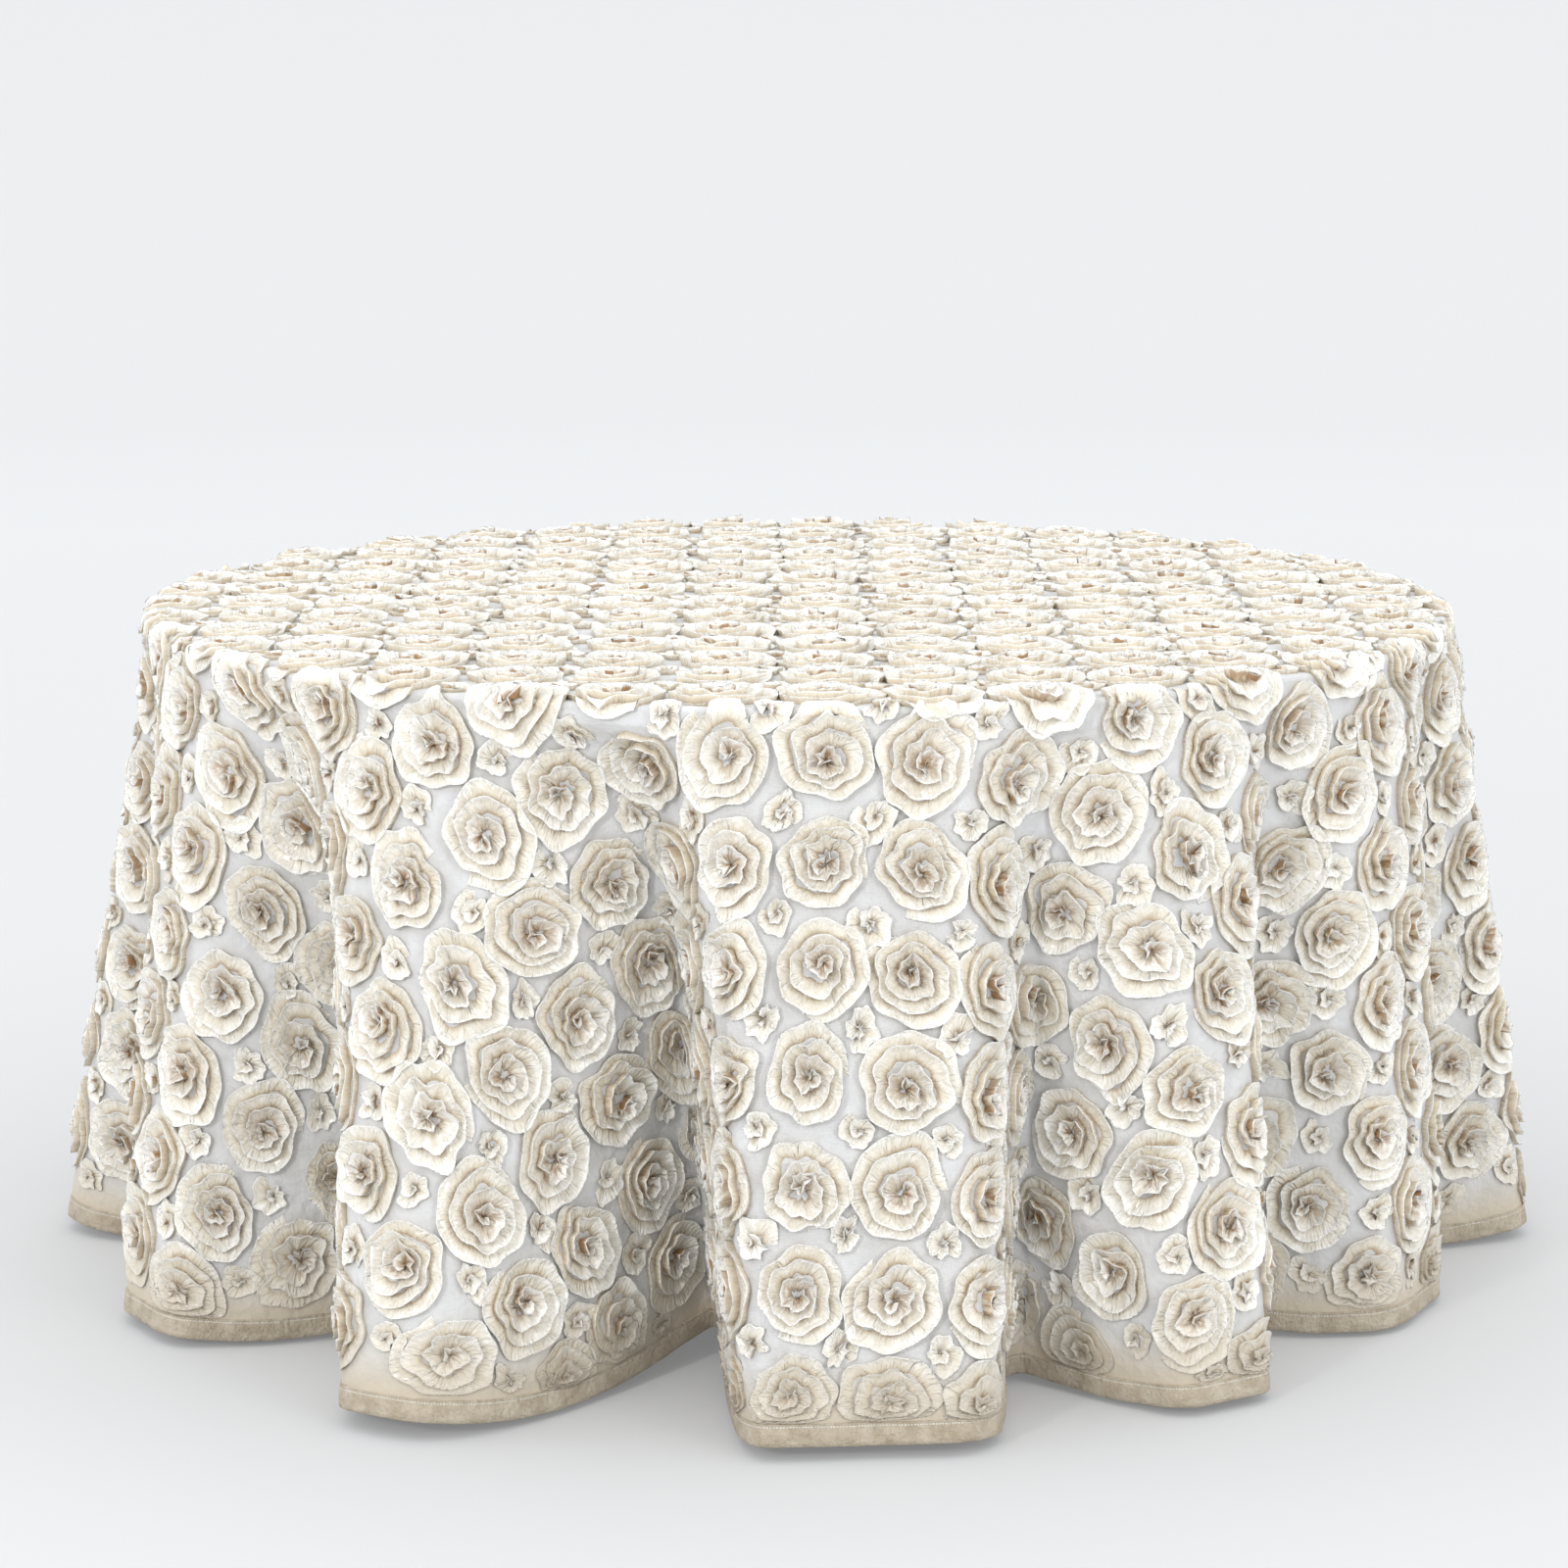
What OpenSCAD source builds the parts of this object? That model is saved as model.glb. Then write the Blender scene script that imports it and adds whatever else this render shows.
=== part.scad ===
// Round rosette tablecloth draped to the floor over a round folding-leg table.
// Frame: millimetres, +Z up, the origin on the floor under the centre of the table,
// -Y is the front. The two leg frames stand at -X and +X and fold inwards about Y.

/* [Table top] */
// Overall diameter of the table, edge band included
table_d = 1524; // [1380:1:1840]
// Height of the table's bare top above the floor
table_h = 762; // [720:1:920]
// Thickness of the plywood top
ply_t = 19; // [15:0.5:30]
// Thickness of the edge band round the plywood
edge_t = 3; // [2:0.5:6]
// Radius of the edge band's rounded corners
edge_round = 2.5; // [1:0.1:5]

/* [Leg frames] */
// Outer diameter of the leg tubes
leg_d = 28; // [24:1:34]
// Wall of the leg tubes
tube_wall = 1.5; // [1:0.1:2.5]
// Outer diameter of the pivot tubes
pivot_d = 25; // [20:1:28]
// Outer diameter of the crossbars
crossbar_d = 22; // [16:1:25]
// Distance from the table's centre to each hinge line
hinge_x = 330; // [300:1:360]
// Half the distance between the legs of the right, wider frame
right_half_w = 300; // [290:1:330]
// Half the distance between the legs of the left, narrower frame
left_half_w = 240; // [220:1:245]
// Depth of the right frame's hinge line below the plywood
right_hinge_drop = 30; // [26:1:32]
// Depth of the left frame's hinge line below the plywood
left_hinge_drop = 66; // [62:1:80]
// Angle by which the legs lean outwards when they stand
leg_splay = 5; // [3:0.5:7]
// Distance from the hinge line to the crossbar, along the leg
crossbar_at = 250; // [200:1:270]
// Thickness of a foot cap's wall and sole
foot_wall = 3; // [2:0.5:5]
// Height of a foot cap
foot_h = 38; // [25:1:50]

/* [Stays] */
// Distance from the hinge line to the stay's rivet on the leg
stay_on_leg = 320; // [290:1:340]
// Distance from the hinge line to the stay's anchor under the top
stay_on_top = 350; // [330:1:370]
// Height of the flat bar that the stays are cut from
stay_w = 18; // [14:1:22]
// Thickness of that bar
stay_t = 3; // [2:0.5:4]
// Diameter of the rivets
rivet_d = 6; // [4:0.5:8]

/* [Brackets] */
// Thickness of the bracket steel
plate_t = 2.5; // [2:0.5:4]
// Width of a bracket along the hinge line's normal
bracket_w = 46; // [40:1:60]
// Diameter of the wood screws' heads
screw_head_d = 8; // [6:0.5:10]

/* [Cloth] */
// Height of the hem above the floor where the cloth hangs straight down
hem_clearance = 6; // [3:1:200]
// Thickness of the ground cloth
cloth_t = 1.6; // [1.2:0.1:3]
// Gap between the table and the cloth that lies on it
cloth_gap = 0.4; // [0.3:0.1:1]
// Height of the hem binding
hem_h = 24; // [15:1:35]
// Thickness of the hem binding
hem_t = 4; // [3:0.5:6]

/* [Rosettes] */
// Distance between neighbouring large rosettes on the flat cloth
rosette_pitch = 110; // [95:1:130]
// Diameter of a large rosette's sewn core
large_d = 56; // [46:1:68]
// Height of a large rosette
large_h = 8; // [5:0.5:12]
// Diameter of a small rosette
small_d = 20; // [14:1:22]
// Height of a small rosette
small_h = 6; // [4:0.5:9]
// Shift of the rosette grid from the cloth's centre towards +X
grid_shift_x = 28; // [0:1:55]
// Shift of the rosette grid from the cloth's centre towards the front
grid_shift_front = 37; // [0:1:55]

/* [Hidden] */

round_fn = 64;
running = 0.08;   // radial clearance of a tube or rivet that turns in a hole
side_gap = 0.5;   // gap between plates that slide past each other
butt_gap = 0.3;   // gap between cloth pieces that are sewn edge to edge

steel = [0.32, 0.33, 0.34];
zinc = [0.72, 0.73, 0.74];
black_plastic = [0.09, 0.09, 0.09];
birch = [0.78, 0.64, 0.45];
ivory = [0.93, 0.90, 0.83];
satin = [0.95, 0.93, 0.87];
tulle = [0.86, 0.87, 0.88];

table_r = table_d / 2;
under_z = table_h - ply_t;
leg_r = leg_d / 2;
screw_d = 4;         // shank of a wood screw
screw_len = 16;      // its length under the head
screw_head_h = 2;
rivet_head_h = 1.6;
rivet_head_d = rivet_d * 1.7;

// ---- The cloth's lengths ----
// The cloth bends over the edge, hangs straight as far as the top's underside and then folds.
band_round = min(edge_round, edge_t - 0.3);
edge_bend = band_round + cloth_gap;
bend_len = edge_bend * PI / 2;
straight_to = bend_len + ply_t - band_round;
cloth_edge_r = table_r + cloth_gap;
cloth_z = table_h + cloth_gap;
flat_r = cloth_edge_r - edge_bend;
drop_len = cloth_z - edge_bend + bend_len - hem_clearance;
cloth_r = flat_r + drop_len;

// ---- The folds of the drop ----
// Each fold: [azimuth of its crest, half the crest's width, crest radius,
//             azimuth of the valley after it, valley radius], in degrees and mm.
// Azimuth 0 is the front, and grows towards +X. The radii are at the hem of the
// cloth that the driving sizes give, and they shrink or grow with the drop.
folds = [
    [  4.5, 7.0, 884,   20, 665],
    [ 33.0, 3.0, 850,   43, 640],
    [ 62.0, 4.0, 808,   75, 640],
    [ 91.0, 4.0, 884,  106, 610],
    [121.0, 4.5, 850,  136, 600],
    [151.0, 4.0, 872,  166, 600],
    [181.0, 5.0, 884,  196, 600],
    [211.0, 4.0, 866,  226, 600],
    [240.0, 4.5, 852,  254, 610],
    [267.5, 4.0, 886,  284, 620],
    [301.0, 3.0, 862,  318, 620],
    [331.0, 2.0, 916,  351, 545]
];
n_folds = len(folds);
fold_ref_r = 762;    // table radius that the fold radii were set for
fold_ref_drop = 758; // drop that they were set for
crest_growth = 0.95; // how the folds deepen down the drop: 1 is in proportion
valley_growth = 0.75;
lean = 0.6;          // how early a fold's line leaves the thread straight below the edge
flank_samples = 16;  // steps along a flank when its length is measured
cols = 144;          // columns of the cloth's mesh round the table
drop_rings = 7;      // rings of the mesh down the drop
bend_rings = 4;      // rings of the mesh round the edge bend

function smooth(x) = let (u = max(0, min(1, x))) u * u * (3 - 2 * u);

// The crest or valley radius set for a fold, moved to this table and this drop.
function scaled_r(r) = table_r + (r - fold_ref_r) * drop_len / fold_ref_drop;

// A flank for each way from a crest to a valley, or back: the azimuths and the hem radii at
// its two ends, and the shares of it that lie flat at its start and at its end.
flanks = [for (i = [0:n_folds - 1])
    let (
        f = folds[i],
        g = folds[(i + 1) % n_folds],
        next = i == n_folds - 1 ? g[0] + 360 : g[0]
    )
    each [
        [f[0], f[3], f[2], f[4], f[1] / (f[3] - f[0]), 0],
        [f[3], next, f[4], g[2], 0, g[1] / (next - f[3])]
    ]];
n_flanks = len(flanks);

// Radius at place u, from 0 to 1, along flank f, at share t down the drop.
function hem_r(f, u) = scaled_r(f[2] + (f[3] - f[2]) * smooth((u - f[4]) / (1 - f[4] - f[5])));
function fold_out(f, u, t) =
    let (rim = hem_r(f, u))
    (rim - cloth_edge_r) * pow(t, rim > table_r ? crest_growth : valley_growth);

// Table from running length to u, where flank f spans the azimuths from ends[0] to ends[1].
function flank_xy(f, ends, t, u) =
    let (r = cloth_edge_r + fold_out(f, u, t), a = ends[0] + (ends[1] - ends[0]) * u)
    [r * sin(a), -r * cos(a)];
function flank_lengths(f, ends, t) =
    let (p = [for (i = [0:flank_samples]) flank_xy(f, ends, t, i / flank_samples)])
    [for (i = 0, run = 0; i <= flank_samples;
        run = run + (i < flank_samples ? norm(p[i + 1] - p[i]) : 0), i = i + 1) [run, i / flank_samples]];

// Share of the whole hem that comes before each flank. The cloth is shared out by it.
hem_lengths = [for (f = flanks) flank_lengths(f, f, 1)[flank_samples][0]];
hem_total = hem_lengths * [for (f = flanks) 1];
flank_shares = [for (i = 0, share = flanks[0][0] / 360; i <= n_flanks;
    share = share + (i < n_flanks ? hem_lengths[i] / hem_total : 0), i = i + 1) share];

// A crest or a valley follows one thread from the table's edge to the hem.
function line_azimuth(i, t) =
    let (thread = 360 * flank_shares[i], hem = i < n_flanks ? flanks[i][0] : flanks[0][0] + 360)
    thread + (hem - thread) * pow(t, lean);

// Point on the cloth's underside: a is the thread's angle, s the way past the flat top.
function drop_point(a, s) =
    let (
        t = max(0, s - straight_to) / (drop_len - straight_to),
        turned = (a % 360 + 360) % 360 / 360,
        share = turned < flank_shares[0] ? turned + 1 : turned,
        i = min(n_flanks, len([for (b = flank_shares) if (b <= share) b])) - 1,
        f = flanks[i],
        ends = [line_azimuth(i, t), line_azimuth(i + 1, t)],
        lengths = flank_lengths(f, ends, t),
        along = (share - flank_shares[i]) / (flank_shares[i + 1] - flank_shares[i]),
        u = lookup(along * lengths[flank_samples][0], lengths),
        az = ends[0] + (ends[1] - ends[0]) * u,
        turn = min(1, s / bend_len) * 90,
        out = fold_out(f, u, t),
        folded = max(0, s - straight_to),
        straight = max(0, min(s, straight_to) - bend_len),
        down = straight + sqrt(max(0, folded * folded - out * out)),
        r = flat_r + edge_bend * sin(turn) + out,
        z = cloth_z - edge_bend + edge_bend * cos(turn) - down
    )
    [r * sin(az), -r * cos(az), z];

// Outward normal of the cloth there, from its neighbours.
function unit(v) = v / norm(v);
function drop_normal(a, s) =
    let (
        along = drop_point(a + 0.4, s) - drop_point(a - 0.4, s),
        down = drop_point(a, min(drop_len, s + 3)) - drop_point(a, max(0, s - 3))
    )
    unit(cross(down, along));

// Point on the flat top or the drop for a place [x, y] on the flat cloth, and the normal there.
function cloth_s(p) = norm(p) - flat_r;
function cloth_angle(p) = atan2(p[0], -p[1]);
function cloth_point(p) = cloth_s(p) <= 0 ? [p[0], p[1], cloth_z] : drop_point(cloth_angle(p), cloth_s(p));
function cloth_normal(p) = cloth_s(p) <= 0 ? [0, 0, 1] : drop_normal(cloth_angle(p), cloth_s(p));

// ---- Helpers ----
module at_both(y) {
    translate([0, y, 0]) children();
    translate([0, -y, 0]) mirror([0, 1, 0]) children();
}

module turned_to(v) {
    rotate([0, acos(v[2] / norm(v)), atan2(v[1], v[0])]) children();
}

// ---- Table top ----
module tabletop() {
    color(birch) translate([0, 0, under_z])
        cylinder(r = table_r - edge_t, h = ply_t, $fn = 256);
}

module edge_band() {
    flat_w = edge_t - band_round;
    color(black_plastic) translate([0, 0, under_z]) rotate_extrude($fn = 256)
        translate([table_r - edge_t, 0]) {
            square([flat_w, ply_t]);
            translate([0, band_round]) square([edge_t, ply_t - 2 * band_round]);
            for (z = [band_round, ply_t - band_round]) translate([flat_w, z])
                intersection() {
                    circle(r = band_round, $fn = 32);
                    translate([0, -band_round]) square([band_round, 2 * band_round]);
                }
        }
}

// ---- Leg frame geometry, in a frame's own coordinates ----
// A frame's own X runs outwards from the table's centre; the right frame's is the row's X.
function hinge_z(drop) = under_z - drop;
function leg_len(drop) = hinge_z(drop) / cos(leg_splay);
function on_leg(drop, d) = [hinge_x + d * sin(leg_splay), 0, hinge_z(drop) - d * cos(leg_splay)];
function anchor(drop) = [hinge_x - stay_on_top, 0, hinge_z(drop)];
stay_run = norm(on_leg(0, stay_on_leg) - anchor(0));
upper_len = (stay_run + stay_on_top - stay_on_leg) / 2;
function knuckle(drop) = anchor(drop)
    + (on_leg(drop, stay_on_leg) - anchor(drop)) * upper_len / stay_run;

// Sideways places of the plates beside a leg, from the leg's centre outwards.
lower_gap = 3; // from a leg's side to the lower stay
lower_y = leg_r + lower_gap;
upper_y = lower_y + stay_t + side_gap;
ear_y = upper_y + stay_t + side_gap;
pivot_ear_in = leg_r + 26; // from a leg's centre inwards to the pivot bracket's ear
pivot_ear_rim = 9;         // steel under the pivot tube's hole
anchor_ear_rim = 8;        // steel under an anchor rivet's hole

leg_above = pivot_d / 2 + 1; // a leg tube runs this far past its hinge line
plug_t = 2;                  // head of the plug in a leg's upper end
plug_deep = 10;              // how far the plug goes in

module leg_tubes(drop, half_w) {
    tube_len = leg_above + leg_len(drop) + leg_d;
    color(steel) at_both(half_w) difference() {
        translate(on_leg(drop, -leg_above)) rotate([0, 180 - leg_splay, 0]) difference() {
            cylinder(d = leg_d, h = tube_len, $fn = round_fn);
            translate([0, 0, -1]) cylinder(d = leg_d - 2 * tube_wall, h = tube_len + 2, $fn = round_fn);
        }
        translate([0, -leg_d, -2 * leg_d + foot_wall])
            cube([table_r, 2 * leg_d, 2 * leg_d]);
    }
}

module tube_plugs(drop, half_w) {
    color(black_plastic) at_both(half_w)
        translate(on_leg(drop, -leg_above)) rotate([0, 180 - leg_splay, 0]) {
            translate([0, 0, -plug_t]) cylinder(d = leg_d, h = plug_t, $fn = round_fn);
            cylinder(d = leg_d - 2 * tube_wall, h = plug_deep, $fn = round_fn);
        }
}

module foot_caps(drop, half_w) {
    cap_d = leg_d + 2 * foot_wall;
    color(black_plastic) at_both(half_w) difference() {
        translate(on_leg(drop, leg_len(drop) - foot_h)) rotate([0, 180 - leg_splay, 0])
            cylinder(d = cap_d, h = foot_h + cap_d, $fn = round_fn);
        difference() {
            translate(on_leg(drop, leg_len(drop) - foot_h - 1)) rotate([0, 180 - leg_splay, 0])
                cylinder(d = leg_d, h = foot_h + leg_d, $fn = round_fn);
            translate([0, -cap_d, -2 * cap_d + foot_wall])
                cube([table_r, 2 * cap_d, 2 * cap_d]);
        }
        translate([0, -cap_d, -3 * cap_d])
            cube([table_r, 2 * cap_d, 3 * cap_d]);
    }
}

module cross_tube(p, half_w, d) {
    translate([p[0], 0, p[2]]) rotate([90, 0, 0]) difference() {
        cylinder(d = d, h = 2 * half_w, center = true, $fn = round_fn);
        cylinder(d = d - 2 * tube_wall, h = 2 * half_w + 2, center = true, $fn = round_fn);
    }
}

// Both tubes are welded between the legs, and reach into each leg's wall.
module pivot_tube(drop, half_w) {
    color(steel) cross_tube(on_leg(drop, 0), half_w - leg_r + tube_wall, pivot_d);
}

module crossbar(drop, half_w) {
    color(steel) cross_tube(on_leg(drop, crossbar_at), half_w - leg_r + tube_wall, crossbar_d);
}

// A rivet whose shank ends flush at 0 and has its head at the other end.
module rivet(length) {
    cylinder(d = rivet_d, h = length, $fn = 32);
    translate([0, 0, length]) cylinder(d = rivet_head_d, h = rivet_head_h, $fn = 32);
}

// Rivets that carry the lower stays, each with a spacing collar on the outer side of its leg.
collar_in = 0.4; // the flat collar bites this far into the round tube
module leg_rivets(drop, half_w) {
    color(zinc) at_both(half_w + leg_r) translate(on_leg(drop, stay_on_leg)) rotate([-90, 0, 0]) {
        translate([0, 0, -tube_wall]) cylinder(d = rivet_d, h = tube_wall + lower_gap + stay_t, $fn = 32);
        translate([0, 0, -collar_in])
            cylinder(d = rivet_head_d, h = collar_in + lower_gap - side_gap / 2, $fn = 32);
    }
}

module pivot_brackets(drop, half_w) {
    ear_bottom = drop + pivot_d / 2 + pivot_ear_rim;
    color(zinc) at_both(half_w - pivot_ear_in) translate([hinge_x, 0, under_z]) {
        difference() {
            translate([-bracket_w / 2, 0, -ear_bottom]) cube([bracket_w, plate_t, ear_bottom]);
            translate([0, -1, -drop]) rotate([-90, 0, 0])
                cylinder(d = pivot_d + 2 * running, h = plate_t + 2, $fn = round_fn);
        }
        translate([-bracket_w / 2, -bracket_w, -plate_t]) difference() {
            cube([bracket_w, bracket_w, plate_t]);
            bracket_holes() screw_hole();
        }
    }
}

module screw_hole() {
    translate([0, 0, -1]) cylinder(d = screw_d + 0.4, h = plate_t + 2, $fn = 32);
}

screw_inset = 9; // from a bracket's edges to its screws
module bracket_holes() {
    for (x = [screw_inset, bracket_w - screw_inset])
        for (y = [screw_inset, bracket_w - screw_inset - plate_t])
            translate([x, y, 0]) children();
}

module wood_screw() {
    translate([0, 0, -screw_head_h]) cylinder(d = screw_head_d, h = screw_head_h, $fn = 32);
    cylinder(d = screw_d, h = screw_len, $fn = 32);
}

module bracket_screws_of(drop, half_w) {
    at_both(half_w - pivot_ear_in) translate([hinge_x - bracket_w / 2, -bracket_w, under_z - plate_t])
        bracket_holes() wood_screw();
}

anchor_w = 30;    // length of a stay anchor along the stay
anchor_base = 26; // width of its foot
anchor_inset = 7; // from its ends to its screws
module stay_anchors(drop, half_w) {
    ear_bottom = drop + rivet_d / 2 + anchor_ear_rim;
    color(zinc) at_both(half_w + ear_y) translate([anchor(drop)[0], 0, under_z]) {
        difference() {
            translate([-anchor_w / 2, 0, -ear_bottom]) cube([anchor_w, plate_t, ear_bottom]);
            translate([0, -1, -drop]) rotate([-90, 0, 0])
                cylinder(d = rivet_d, h = plate_t + 2, $fn = 32);
        }
        translate([-anchor_w / 2, 0, -plate_t]) difference() {
            cube([anchor_w, anchor_base, plate_t]);
            anchor_holes() screw_hole();
        }
    }
}

module anchor_holes() {
    for (x = [anchor_inset, anchor_w - anchor_inset])
        translate([x, (anchor_base + plate_t) / 2, 0]) children();
}

module anchor_screws_of(drop, half_w) {
    at_both(half_w + ear_y) translate([anchor(drop)[0] - anchor_w / 2, 0, under_z - plate_t])
        anchor_holes() wood_screw();
}

// A rivet through each anchor's ear and the upper stay, with a head outside the ear.
module anchor_rivets_of(drop, half_w) {
    at_both(half_w + upper_y) translate(anchor(drop)) rotate([-90, 0, 0])
        rivet(stay_t + side_gap + plate_t);
}

// A flat bar with round ends and a hole in each, lying in the XZ plane from p to q.
module stay_bar(p, q, p_hole, q_hole) {
    angle = atan2(q[2] - p[2], q[0] - p[0]);
    run = norm(q - p);
    translate(p) rotate([0, -angle, 0]) difference() {
        union() {
            translate([0, 0, -stay_w / 2]) cube([run, stay_t, stay_w]);
            for (x = [0, run]) translate([x, 0, 0]) rotate([-90, 0, 0])
                cylinder(d = stay_w, h = stay_t, $fn = round_fn);
        }
        translate([0, -1, 0]) rotate([-90, 0, 0]) cylinder(d = p_hole, h = stay_t + 2, $fn = 32);
        translate([run, -1, 0]) rotate([-90, 0, 0]) cylinder(d = q_hole, h = stay_t + 2, $fn = 32);
    }
}

module upper_stays(drop, half_w) {
    color(zinc) at_both(half_w + upper_y)
        stay_bar(anchor(drop), knuckle(drop), rivet_d + 2 * running, rivet_d);
}

// The knuckle's rivet stays in the upper bar: the knuckle is where the linkage is opened.
module knuckle_rivets(drop, half_w) {
    color(zinc) at_both(half_w + upper_y) translate(knuckle(drop)) rotate([-90, 0, 0])
        rivet(stay_t);
}

module lower_stays(drop, half_w) {
    color(zinc) at_both(half_w + lower_y)
        stay_bar(on_leg(drop, stay_on_leg), knuckle(drop), rivet_d + 2 * running, rivet_d);
}

module right_side() { children(); }
module left_side() { mirror([1, 0, 0]) children(); }

// ---- The cloth ----
// Rings of [point, normal] from the centre of the top to one place down the drop.
function bend_places() = [for (i = [0:bend_rings]) bend_len * i / bend_rings];
function drop_places(to) = [for (i = [0:drop_rings]) straight_to + (to - straight_to) * i / drop_rings];

// One closed shell: each ring is drawn at two offsets along the cloth's own normal.
module shell(places, low, high, closed_top) {
    rings = len(places);
    function ring(i, off) = [for (c = [0:cols - 1])
        let (a = c * 360 / cols, n = drop_normal(a, places[i]), p = drop_point(a, places[i]))
        i == 0 && closed_top ? [p[0], p[1], p[2] + off] : p + off * n];
    outer = [for (i = [0:rings - 1]) each ring(i, high)];
    inner = [for (i = [0:rings - 1]) each ring(i, low)];
    top = closed_top ? [[0, 0, cloth_z + high], [0, 0, cloth_z + low]] : [];
    points = concat(outer, inner, top);
    m = rings * cols;
    function nxt(c) = (c + 1) % cols;
    walls = [for (i = [0:rings - 2]) for (c = [0:cols - 1])
        let (p = i * cols + c, q = i * cols + nxt(c), r = p + cols, s = q + cols)
        each [[p, q, s], [p, s, r], [m + p, m + s, m + q], [m + p, m + r, m + s]]];
    foot = [for (c = [0:cols - 1])
        let (p = (rings - 1) * cols + c, q = (rings - 1) * cols + nxt(c))
        each [[p, q, m + q], [p, m + q, m + p]]];
    head = closed_top
        ? [for (c = [0:cols - 1]) each [[2 * m, nxt(c), c], [2 * m + 1, m + c, m + nxt(c)]]]
        : [for (c = [0:cols - 1]) each [[c, m + nxt(c), nxt(c)], [c, m + c, m + nxt(c)]]];
    polyhedron(points = points, faces = concat(walls, foot, head), convexity = 12);
}

module ground_cloth() {
    color(tulle)
        shell(concat(bend_places(), drop_places(drop_len - hem_h - butt_gap)), 0, cloth_t, true);
}

module hem_binding() {
    color(ivory) shell([drop_len - hem_h, drop_len], (cloth_t - hem_t) / 2, (cloth_t + hem_t) / 2, false);
}

// ---- The rosettes ----
reach = ceil(cloth_r / rosette_pitch);
hem_to_large = 49; // a large rosette's centre is at least this far from the hem
hem_to_small = hem_h + small_d / 2 + 2;
function on_top(p) = cloth_s(p) < -large_d / 2;

// Places on a square grid that are more than margin from the hem; half is 0.5 for the in-between grid.
function grid(half, margin) = [for (i = [-reach:reach]) for (j = [-reach:reach])
    let (p = [(i + half) * rosette_pitch + grid_shift_x, (j + half) * rosette_pitch - grid_shift_front])
    if (norm(p) < cloth_r - margin) p];
large_places = grid(0, hem_to_large);
small_places = grid(0.5, hem_to_small);

sewn_in = 0.2; // a rosette's base is sunk this far into the ground cloth
taper = 0.7;   // width of a rosette's top as a share of its base

// How far a flat base of radius r has to move out, so that no part of its rim cuts into the
// table's edge. p is on the cloth and n is the normal there.
rim_checks = 16;
rim_clearance = 0.6; // between a rosette's base and the bare table's edge
function rim_reach(p, d, r) = d[2] > 0.01 ? min(r, (table_h - p[2]) / d[2]) : r;
function move_out(p, n, r) = p[2] > table_h - band_round ? 0 :
    let (up = unit([0, 0, 1] - n * n[2]), side = cross(n, up))
    max([for (k = [0:rim_checks - 1])
        let (
            a = k * 360 / rim_checks,
            d = up * cos(a) + side * sin(a),
            q = p + d * rim_reach(p, d, r)
        )
        q[2] > under_z ? max(0, table_r + rim_clearance - norm([q[0], q[1]])) : 0]);

module rosette(p, d, h) {
    c = cloth_point(p);
    n = cloth_normal(p);
    out = move_out(c, n, d / 2) * unit([c[0], c[1], 0]);
    translate(c + n * (cloth_t - sewn_in) + out) turned_to(n)
        cylinder(d1 = d, d2 = d * taper, h = h + sewn_in, $fn = 32);
}

module rosettes(places, d, h) {
    for (p = places) rosette(p, d, h);
}

tabletop();
edge_band();
right_side() pivot_brackets(right_hinge_drop, right_half_w);  // pivot_brackets_right
left_side() pivot_brackets(left_hinge_drop, left_half_w);  // pivot_brackets_left
color(zinc) {  // bracket_screws
    right_side() bracket_screws_of(right_hinge_drop, right_half_w);
    left_side() bracket_screws_of(left_hinge_drop, left_half_w);
}
right_side() stay_anchors(right_hinge_drop, right_half_w);  // stay_anchors_right
left_side() stay_anchors(left_hinge_drop, left_half_w);  // stay_anchors_left
color(zinc) {  // anchor_screws
    right_side() anchor_screws_of(right_hinge_drop, right_half_w);
    left_side() anchor_screws_of(left_hinge_drop, left_half_w);
}
color(zinc) {  // anchor_rivets
    right_side() anchor_rivets_of(right_hinge_drop, right_half_w);
    left_side() anchor_rivets_of(left_hinge_drop, left_half_w);
}
right_side() leg_tubes(right_hinge_drop, right_half_w);  // leg_tubes_right
right_side() pivot_tube(right_hinge_drop, right_half_w);  // pivot_tube_right
right_side() crossbar(right_hinge_drop, right_half_w);  // crossbar_right
right_side() foot_caps(right_hinge_drop, right_half_w);  // foot_caps_right
right_side() tube_plugs(right_hinge_drop, right_half_w);  // tube_plugs_right
right_side() leg_rivets(right_hinge_drop, right_half_w);  // leg_rivets_right
left_side() leg_tubes(left_hinge_drop, left_half_w);  // leg_tubes_left
left_side() pivot_tube(left_hinge_drop, left_half_w);  // pivot_tube_left
left_side() crossbar(left_hinge_drop, left_half_w);  // crossbar_left
left_side() foot_caps(left_hinge_drop, left_half_w);  // foot_caps_left
left_side() tube_plugs(left_hinge_drop, left_half_w);  // tube_plugs_left
left_side() leg_rivets(left_hinge_drop, left_half_w);  // leg_rivets_left
right_side() upper_stays(right_hinge_drop, right_half_w);  // upper_stays_right
right_side() knuckle_rivets(right_hinge_drop, right_half_w);  // knuckle_rivets_right
right_side() lower_stays(right_hinge_drop, right_half_w);  // lower_stays_right
left_side() upper_stays(left_hinge_drop, left_half_w);  // upper_stays_left
left_side() knuckle_rivets(left_hinge_drop, left_half_w);  // knuckle_rivets_left
left_side() lower_stays(left_hinge_drop, left_half_w);  // lower_stays_left
ground_cloth();
hem_binding();
/* large_rosettes_top */ color(satin) rosettes([for (p = large_places) if (on_top(p)) p], large_d, large_h);
/* large_rosettes_drop */ color(satin) rosettes([for (p = large_places) if (!on_top(p)) p], large_d, large_h);
/* small_rosettes_top */ color(satin) rosettes([for (p = small_places) if (on_top(p)) p], small_d, small_h);
/* small_rosettes_drop */ color(satin) rosettes([for (p = small_places) if (!on_top(p)) p], small_d, small_h);
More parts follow.
